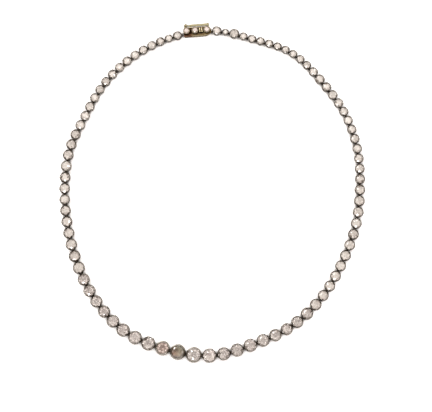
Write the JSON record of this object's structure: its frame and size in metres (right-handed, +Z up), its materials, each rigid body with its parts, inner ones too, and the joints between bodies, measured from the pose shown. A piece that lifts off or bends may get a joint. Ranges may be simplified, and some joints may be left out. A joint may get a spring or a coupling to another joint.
{
  "type": "riviere necklace",
  "caption": "Single-row necklace of graduated round stones in claw collets, linked in a ring and laid flat, closed by a gem-set box clasp with a hinged safety catch.",
  "frame": {"origin": "middle of the necklace's box, on the surface that it lies on", "axes": "+Z up, out of the stones' tables; +Y from the largest stones at the front to the clasp at the back; +X to the right in the picture"},
  "size_m": [0.1258, 0.1435, 0.0038],
  "materials": {
    "collet_metal": "aged silver-topped gold, polished on the claws and dark in the recesses",
    "diamond": "faceted, clear with a faint warm tint",
    "grey_diamond": "faceted, cloudy grey",
    "clasp_gold": "worn yellow gold"
  },
  "bodies": {
    "necklace": {"front_setting_01": "collet_metal", "front_setting_02": "collet_metal", "front_setting_03": "collet_metal", "front_setting_04": "collet_metal", "front_setting_05": "collet_metal", "front_setting_06": "collet_metal", "front_setting_07": "collet_metal", "front_setting_08": "collet_metal", "front_setting_09": "collet_metal", "front_setting_10": "collet_metal", "front_setting_11": "collet_metal", "front_setting_12": "collet_metal", "front_setting_13": "collet_metal", "front_setting_14": "collet_metal", "front_setting_15": "collet_metal", "front_setting_16": "collet_metal", "front_setting_17": "collet_metal", "front_setting_18": "collet_metal", "front_setting_19": "collet_metal", "front_setting_20": "collet_metal", "front_stone_01": "diamond", "front_stone_02": "diamond", "front_stone_03": "diamond", "front_stone_04": "diamond", "front_stone_05": "diamond", "front_stone_06": "diamond", "front_stone_07": "diamond", "front_stone_08": "diamond", "front_stone_09": "diamond", "front_stone_10": "grey_diamond", "front_stone_11": "diamond", "front_stone_12": "diamond", "front_stone_13": "diamond", "front_stone_14": "diamond", "front_stone_15": "diamond", "front_stone_16": "diamond", "front_stone_17": "diamond", "front_stone_18": "diamond", "front_stone_19": "diamond", "front_stone_20": "diamond", "left_settings": "collet_metal", "left_stones": "diamond", "right_settings": "collet_metal", "right_stones": "diamond", "clasp_box": "clasp_gold", "clasp_tongue": "clasp_gold", "clasp_stone_1": "diamond", "clasp_stone_2": "diamond", "clasp_stone_3": "diamond"},
    "thumb_leaf": {"clasp_spring": "clasp_gold"},
    "catch": {"safety_catch": "clasp_gold"}
  },
  "joints": [
    {"name": "thumb_press", "type": "hinge", "parent": "necklace", "child": "thumb_leaf", "pos_m": [-0.01125, 0.06736, 0.00072], "axis": [-0.0769, 0.997, 0], "range_deg": [0, 3.4], "stiffness_Nm_per_rad": 0.3, "springref_deg": -1.15},
    {"name": "catch_hinge", "type": "hinge", "parent": "necklace", "child": "catch", "pos_m": [-0.00199, 0.07086, 0.00125], "axis": [-0.0769, 0.997, 0], "range_deg": [0, 150]}
  ]
}
